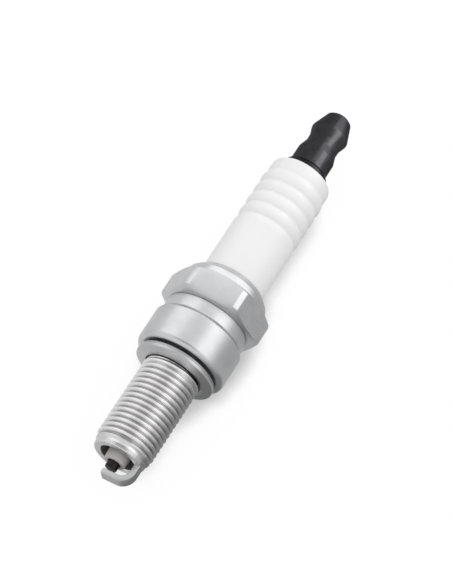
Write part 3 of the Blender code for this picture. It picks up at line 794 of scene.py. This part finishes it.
class PLUG_OT_insulator(bpy.types.Operator):
    """Model the ceramic insulator: bare nose, hidden flange and glazed ribbed head"""

    bl_idname = "plug.insulator"
    bl_label = "Insulator"

    def execute(self, context):
        sizes = context.scene.plug_insulator
        colours = context.scene.plug_colours
        ledge = context.scene.plug_shell.ledge_start
        ribs, half_steps = 4, 5
        groove_fillet = 0.0003
        scallops = []
        for rib in range(ribs):
            middle = sizes.rib_start + (rib + 0.5) * sizes.rib_pitch
            for step in range(1 - half_steps, half_steps):
                share = step / half_steps
                radius = sizes.rib_radius + (sizes.groove_radius - sizes.rib_radius) * share ** 2
                scallops.append((middle + share * sizes.rib_pitch / 2, radius))
            scallops.append((middle + sizes.rib_pitch / 2, sizes.groove_radius, groove_fillet))
        nose_end, stem_foot, stem_start = ledge + 0.0006, ledge + 0.0020, ledge + 0.0026
        stem_end, flange_start, flange_end, head_start = 0.0019, 0.0028, 0.0098, 0.0103
        flank_start = sizes.rib_start - 0.0010
        land_start = sizes.rib_start + ribs * sizes.rib_pitch + 0.0007
        seal_floor, electrode_seat = -0.0060, -0.0066
        shape = turned([
            (sizes.tip, sizes.electrode_bore),
            (sizes.tip, sizes.tip_radius, 0.0002),
            (nose_end, sizes.nose_radius),
            (stem_foot, sizes.nose_radius),
            (stem_start, sizes.stem_radius),
            (stem_end, sizes.stem_radius),
            (flange_start, sizes.flange_radius),
            (flange_end, sizes.flange_radius),
            (head_start, sizes.head_radius),
            (flank_start, sizes.head_radius, 0.0022),
            (sizes.rib_start, sizes.groove_radius, groove_fillet),
            *scallops,
            (land_start, sizes.land_radius, 0.0010),
            (sizes.top, sizes.land_radius, sizes.shoulder),
            (sizes.top, sizes.stud_bore, 0.0002),
            (seal_floor, sizes.stud_bore),
            (electrode_seat, sizes.electrode_bore),
        ], FINE_SEGMENTS, steps=8)
        for face in shape.faces:
            face.material_index = int(face.calc_center_median().x < 0.0)
        finishes = [glazed_finish("white_glaze", colours.glaze),
                    bare_ceramic_finish("bare_nose", colours.nose)]
        add_piece("ceramic_insulator", shape, finishes, "insulator")
        return {"FINISHED"}


class PLUG_OT_gasket(bpy.types.Operator):
    """Model the crush gasket as a folded ring with its seam and lip"""

    bl_idname = "plug.gasket"
    bl_label = "Crush gasket"

    def execute(self, context):
        sizes = context.scene.plug_gasket
        lip = sizes.back - sizes.lip_thickness
        seam = sizes.back - 0.00040
        seam_half_width, seam_depth = 0.00008, 0.00014
        fold = sizes.front + 0.00042
        dish = 0.0006
        shape = turned([
            (sizes.back, sizes.lip, 0.0001),
            (sizes.back, sizes.radius - 0.00015, 0.00015),
            (seam + seam_half_width, sizes.radius - 0.00003, 0.00006),
            (seam, sizes.radius - seam_depth, 0.00002),
            (seam - seam_half_width, sizes.radius, 0.00006),
            (fold, sizes.radius - 0.00006, 0.00009),
            (sizes.front, sizes.bore + dish, dish),
            (sizes.front, sizes.bore, 0.00005),
            (lip, sizes.bore),
            (lip, sizes.lip, 0.0001),
        ], FINE_SEGMENTS, steps=6)
        finish = metal_finish("gasket_sheet", context.scene.plug_colours.gasket, shine=(0.28, 0.42),
                              streaks=(10.0, 0.6, 0.6), line_depth=0.000012)
        add_piece("folded_gasket", shape, [finish], "crush_gasket", "gasket")
        return {"FINISHED"}


class PLUG_OT_terminal_stud(bpy.types.Operator):
    """Model the terminal stud with its thread"""

    bl_idname = "plug.terminal_stud"
    bl_label = "Terminal stud"

    def execute(self, context):
        sizes = context.scene.plug_terminal
        chamfer = 0.0003
        slope = 0.9
        foot = sizes.thread_root - 0.00003
        first = sizes.thread_start - sizes.thread_pitch
        turns = (sizes.stud_end - sizes.thread_start) / sizes.thread_pitch + 2.0
        shape = thread_sheet(first, turns, sizes.thread_pitch, sizes.thread_root, sizes.thread_radius,
                             STUD_THREAD_STEPS)

        def chamfered(x):
            at_end = foot + slope * (sizes.stud_end - chamfer - x)
            at_start = foot + slope * (x - sizes.thread_start)
            return min(sizes.thread_radius, at_end, at_start)

        limit_radius(shape, chamfered)
        end = trim(shape, sizes.stud_end - chamfer, 1.0)
        start = trim(shape, sizes.thread_start, -1.0)
        extend(shape, end, [(sizes.stud_end, sizes.thread_root - chamfer), (sizes.stud_end, 0.0)])
        extend(shape, start, [(sizes.stud_start, foot), (sizes.stud_start, 0.0)])
        finish = metal_finish("stud_steel", context.scene.plug_colours.stud, shine=(0.28, 0.42),
                              streaks=(10.0, 0.4, 0.4), line_depth=0.000010)
        add_piece("threaded_stud", sealed(shape), [finish], "terminal_stud")
        return {"FINISHED"}


class PLUG_OT_terminal_washer(bpy.types.Operator):
    """Model the washer under the terminal nut"""

    bl_idname = "plug.terminal_washer"
    bl_label = "Terminal washer"

    def execute(self, context):
        sizes = context.scene.plug_terminal
        edge = sizes.washer_base + 0.0009
        top_radius = sizes.washer_radius - 0.00035
        shape = turned([
            (sizes.washer_base, sizes.washer_bore),
            (sizes.washer_base, sizes.washer_radius, 0.00012),
            (edge, sizes.washer_radius, 0.0002),
            (sizes.washer_top, top_radius, 0.0001),
            (sizes.washer_top, sizes.washer_bore),
        ], SMALL_SEGMENTS)
        finish = black_oxide_finish("washer_black", context.scene.plug_colours.washer, shine=(0.24, 0.34))
        add_piece("black_washer", shape, [finish], "terminal_washer", "washer")
        return {"FINISHED"}


class PLUG_OT_terminal_nut(bpy.types.Operator):
    """Model the screw-on nut with its barrel, waist, round head and bore"""

    bl_idname = "plug.terminal_nut"
    bl_label = "Terminal nut"

    def execute(self, context):
        sizes = context.scene.plug_terminal
        bore_end = sizes.nut_base + sizes.nut_bore_depth

        def up(share):
            return sizes.nut_base + share * (sizes.nut_top - sizes.nut_base)

        shape = turned([
            (bore_end + sizes.nut_bore / 2, 0.0),
            (bore_end, sizes.nut_bore),
            (sizes.nut_base, sizes.nut_bore, 0.00015),
            (sizes.nut_base, sizes.nut_radius, 0.00015),
            (up(0.268), sizes.nut_radius, 0.0006),
            (up(0.411), sizes.nut_waist, 0.0010),
            (up(0.524), sizes.nut_waist, 0.0010),
            (up(0.671), sizes.nut_head + 0.00008, 0.0010),
            (up(0.956), sizes.nut_head - 0.00104, 0.0005),
            (up(1.000), sizes.nut_head - 0.00166, 0.0004),
            (sizes.nut_top, 0.0),
        ], SMALL_SEGMENTS, steps=8, closed=False)
        finish = black_oxide_finish("nut_black", context.scene.plug_colours.black, shine=(0.22, 0.30))
        add_piece("black_terminal_nut", shape, [finish], "terminal_nut", "nut")
        return {"FINISHED"}


class PLUG_OT_sealed_pieces(bpy.types.Operator):
    """Give the solids that stay sealed inside the plug their finishes"""

    bl_idname = "plug.sealed_pieces"
    bl_label = "Sealed pieces"

    def execute(self, context):
        copper = matt_finish("core_copper", base=(0.72, 0.38, 0.24), roughness=0.35, metallic=1.0)
        glass = matt_finish("sealing_glass", base=(0.30, 0.22, 0.17), roughness=0.30)
        carbon = matt_finish("resistor_carbon", base=(0.05, 0.05, 0.05), roughness=0.70)
        soft_steel = matt_finish("packing_steel", base=(0.42, 0.42, 0.43), roughness=0.45, metallic=1.0)
        talc = matt_finish("pressed_talc", base=(0.80, 0.79, 0.74), roughness=0.90)
        finishes = {
            "copper_core": copper,
            "lower_glass_seal": glass,
            "resistor": carbon,
            "upper_glass_seal": glass,
            "upper_packing_ring": soft_steel,
            "talc_packing": talc,
            "lower_packing_ring": soft_steel,
            "seat_packing_washer": soft_steel,
        }
        for name, finish in finishes.items():
            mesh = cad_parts[name].data
            mesh.materials.clear()
            mesh.materials.append(finish)
        return {"FINISHED"}


def empty_tree(owner):
    """Node tree of a new material or world, with nothing in it."""
    owner.use_nodes = True
    owner.node_tree.nodes.clear()
    return owner.node_tree


def seen_directly(tree):
    """1 for rays from the camera, off a shiny surface or through a clear one, and 0 for other light."""
    path = add_node(tree, "ShaderNodeLightPath").outputs
    shiny = combine(tree, "MAXIMUM", path["Is Camera Ray"], path["Is Glossy Ray"])
    return combine(tree, "MAXIMUM", shiny, path["Is Transmission Ray"])


class PLUG_OT_stage(bpy.types.Operator):
    """Set up the pale floor, the softboxes, the world and the camera"""

    bl_idname = "plug.stage"
    bl_label = "Stage"

    def execute(self, context):
        stage = context.scene.plug_stage
        self.add_floor()
        self.light_world(context.scene, stage.fill)
        self.add_softbox("key_softbox", stage.key, lean=0.41, turn=-44, spread=34, away=0.60, wide=0.70)
        self.add_softbox("side_softbox", stage.side, lean=0.39, turn=47, spread=46, away=0.16, wide=0.075)
        self.add_softbox("back_softbox", stage.back, lean=0.92, turn=0, spread=80, away=0.60, wide=0.50)
        self.add_cards()
        self.add_camera(context.scene, stage)
        context.scene.view_settings.view_transform = "Standard"
        return {"FINISHED"}

    def add_floor(self):
        """White floor that keeps the object's shadow close by and turns plain white further off."""
        half_size = 3.0
        shadow_reach = 0.0062
        white_start, white_end = 0.10, 0.35
        shape = bmesh.new()
        bmesh.ops.create_grid(shape, x_segments=1, y_segments=1, size=half_size,
                              matrix=Matrix.Translation((0.0, 0.0, CAD_BOX[0].z)))
        material = bpy.data.materials.new("floor_paper")
        add_object("floor", shape, [material])
        tree = empty_tree(material)
        place = add_node(tree, "ShaderNodeTexCoord").outputs["Object"]
        away = add_node(tree, "ShaderNodeVectorMath", {0: place}, operation="LENGTH").outputs["Value"]
        far = map_range(tree, away, (white_start, 0.0), (white_end, 1.0))
        paper = add_node(tree, "ShaderNodeBsdfDiffuse", {"Color": (0.45, 0.45, 0.45, 1.0)})
        shaded = add_node(tree, "ShaderNodeBsdfDiffuse", {"Color": (0.12, 0.12, 0.12, 1.0)})
        open_sky = add_node(tree, "ShaderNodeAmbientOcclusion", {"Distance": shadow_reach}, samples=16)
        lit = map_range(tree, open_sky.outputs["AO"], (0.45, 0.45), (0.72, 0.90))
        glow = add_node(tree, "ShaderNodeEmission", {"Strength": lit})
        white = add_node(tree, "ShaderNodeEmission", {"Strength": 1.0})
        near = add_node(tree, "ShaderNodeAddShader", {0: shaded.outputs[0], 1: glow.outputs[0]})
        seen = add_node(tree, "ShaderNodeMixShader", {0: far, 1: near.outputs[0], 2: white.outputs[0]})
        both = add_node(tree, "ShaderNodeMixShader", {0: seen_directly(tree), 1: paper.outputs[0],
                                                      2: seen.outputs[0]})
        add_node(tree, "ShaderNodeOutputMaterial", {"Surface": both.outputs[0]})

    def light_world(self, scene, strength):
        """Even fill light that the camera and shiny surfaces see as white."""
        scene.world = bpy.data.worlds.new("studio")
        tree = empty_tree(scene.world)
        fill = add_node(tree, "ShaderNodeBackground", {"Color": (1.0, 1.0, 1.0, 1.0), "Strength": strength})
        white = add_node(tree, "ShaderNodeBackground", {"Color": (1.0, 1.0, 1.0, 1.0), "Strength": 1.0})
        both = add_node(tree, "ShaderNodeMixShader", {0: seen_directly(tree), 1: fill.outputs[0],
                                                      2: white.outputs[0]})
        add_node(tree, "ShaderNodeOutputWorld", {"Surface": both.outputs[0]})

    def add_softbox(self, name, radiance, lean, turn, spread, away, wide):
        """Softbox that faces the plug and leans towards +X; turn, its place about the axis, and spread are
        in degrees."""
        tall = 2.0 * away * math.tan(math.radians(spread) / 2)
        lamp = bpy.data.lights.new(name, "AREA")
        lamp.shape = "RECTANGLE"
        lamp.size = tall
        lamp.size_y = wide
        lamp.energy = radiance * math.pi * wide * tall
        box = bpy.data.objects.new(name, lamp)
        upright = math.sqrt(1.0 - lean ** 2)
        turn = math.radians(turn)
        back = Vector((lean, upright * math.sin(turn), upright * math.cos(turn)))
        along = (Vector(AXIS) - lean * back).normalized()
        across = along.cross(back)
        facing = Matrix((across, along, back)).transposed().to_4x4()
        box.matrix_world = Matrix.Translation(back * away) @ facing
        box.visible_camera = False
        bpy.context.scene.collection.objects.link(box)

    def add_cards(self):
        """Cards that shape the reflections: two along the plug, four close to it and one overhead."""
        floor = CAD_BOX[0].z + 0.0002
        front, flag = floor + 0.0002, floor + 0.0003
        beside, away, up, overhead = 0.005, 0.25, 0.07, 0.50
        # Seen only in reflections: front_card and thread_flag stand in for the plug's shadow on the floor
        # near the tip
        # and beside the thread, and nut_strip gives the nut a highlight.
        self.add_card("dark_card", 0.54, span=(-0.40, 0.18),
                      profile=[(-beside, floor), (-away, floor), (-away, up)])
        self.add_card("grey_card", 0.80, span=(-0.12, 0.18),
                      profile=[(beside, floor), (away, floor), (away, up)])
        self.add_card("front_card", 0.62, span=(-0.06, -0.0195), profile=[(-0.003, front), (0.012, front)])
        self.add_card("thread_flag", 0.25, span=(-0.03, 0.001), profile=[(-0.003, flag), (-0.03, flag)])
        self.add_card("nut_flag", 0.50, span=(0.0445, 0.088),
                      profile=[(-0.002, 0.014), (0.010, 0.014), (0.010, 0.001)])
        self.add_card("nut_strip", 2.8, span=(0.0445, 0.060), profile=[(-0.0080, 0.0122), (-0.0127, 0.0070)])
        self.add_card("top_card", 0.40, span=(-0.28, 0.03), profile=[(-away, overhead), (away, overhead)])

    def add_card(self, name, radiance, span, profile):
        """Card with a profile of (y, z) points over a span of X, which only shiny surfaces show."""
        start, end = span
        shape = bmesh.new()
        verts = [shape.verts.new((start, y, z)) for y, z in profile]
        edges = [shape.edges.new(pair) for pair in zip(verts, verts[1:])]
        pushed(shape, edges, (end - start, 0.0, 0.0))
        material = bpy.data.materials.new(name)
        card = add_object(name, shape, [material])
        card.visible_camera = False
        card.visible_diffuse = False
        card.visible_shadow = False
        tree = empty_tree(material)
        grey = add_node(tree, "ShaderNodeEmission", {"Strength": radiance})
        add_node(tree, "ShaderNodeOutputMaterial", {"Surface": grey.outputs[0]})

    def add_camera(self, scene, stage):
        """Camera at the photograph's angle; its offset puts the gasket seat where the photograph has it."""
        tilt = math.pi / 2 - stage.elevation
        turn = (Matrix.Rotation(stage.azimuth, 3, "Z") @ Matrix.Rotation(tilt, 3, "X")
                @ Matrix.Rotation(stage.roll, 3, "Z"))
        data = bpy.data.cameras.new("camera")
        data.sensor_fit = "AUTO"
        data.sensor_width = 36.0
        data.lens = data.sensor_width * stage.focal_pixels / PHOTO_HEIGHT
        data.clip_start = 0.01
        data.clip_end = 20.0
        camera = bpy.data.objects.new("camera", data)
        camera.location = turn @ Vector((-stage.seat_right, -stage.seat_up, stage.distance))
        camera.rotation_euler = turn.to_euler()
        scene.collection.objects.link(camera)
        scene.camera = camera


PIECES = (
    PLUG_OT_shell_thread, PLUG_OT_shell_barrel, PLUG_OT_shell_hexagon, PLUG_OT_shell_rim,
    PLUG_OT_side_electrode, PLUG_OT_centre_electrode, PLUG_OT_insulator, PLUG_OT_gasket,
    PLUG_OT_terminal_stud, PLUG_OT_terminal_washer, PLUG_OT_terminal_nut, PLUG_OT_sealed_pieces,
    PLUG_OT_stage,
)
SETTINGS = {
    "plug_shell": ShellSizes,
    "plug_gasket": GasketSizes,
    "plug_insulator": InsulatorSizes,
    "plug_electrodes": ElectrodeSizes,
    "plug_terminal": TerminalSizes,
    "plug_colours": FinishColours,
    "plug_stage": StageSettings,
}


class PLUG_PT_sidebar(bpy.types.Panel):
    """Pieces of the plug and the sizes and colours behind them"""

    bl_idname = "PLUG_PT_sidebar"
    bl_label = "Spark plug"
    bl_space_type = "VIEW_3D"
    bl_region_type = "UI"
    bl_category = "Spark plug"

    def draw(self, context):
        for piece in PIECES:
            self.layout.operator(piece.bl_idname)
        for setting, group in SETTINGS.items():
            box = self.layout.box()
            for size in group.__annotations__:
                box.prop(getattr(context.scene, setting), size)


def register():
    for group in (*SETTINGS.values(), *PIECES, PLUG_PT_sidebar):
        bpy.utils.register_class(group)
    for setting, group in SETTINGS.items():
        setattr(bpy.types.Scene, setting, PointerProperty(type=group))


def unregister():
    for setting in SETTINGS:
        delattr(bpy.types.Scene, setting)
    for group in (PLUG_PT_sidebar, *reversed(PIECES), *SETTINGS.values()):
        bpy.utils.unregister_class(group)


def main():
    register()
    bpy.ops.plug.shell_thread()
    bpy.ops.plug.shell_barrel()
    bpy.ops.plug.shell_hexagon()
    bpy.ops.plug.shell_rim()
    bpy.ops.plug.side_electrode()
    bpy.ops.plug.centre_electrode()
    bpy.ops.plug.insulator()
    bpy.ops.plug.gasket()
    bpy.ops.plug.terminal_stud()
    bpy.ops.plug.terminal_washer()
    bpy.ops.plug.terminal_nut()
    bpy.ops.plug.sealed_pieces()
    bpy.ops.plug.stage()


if __name__ == "__main__":
    main()
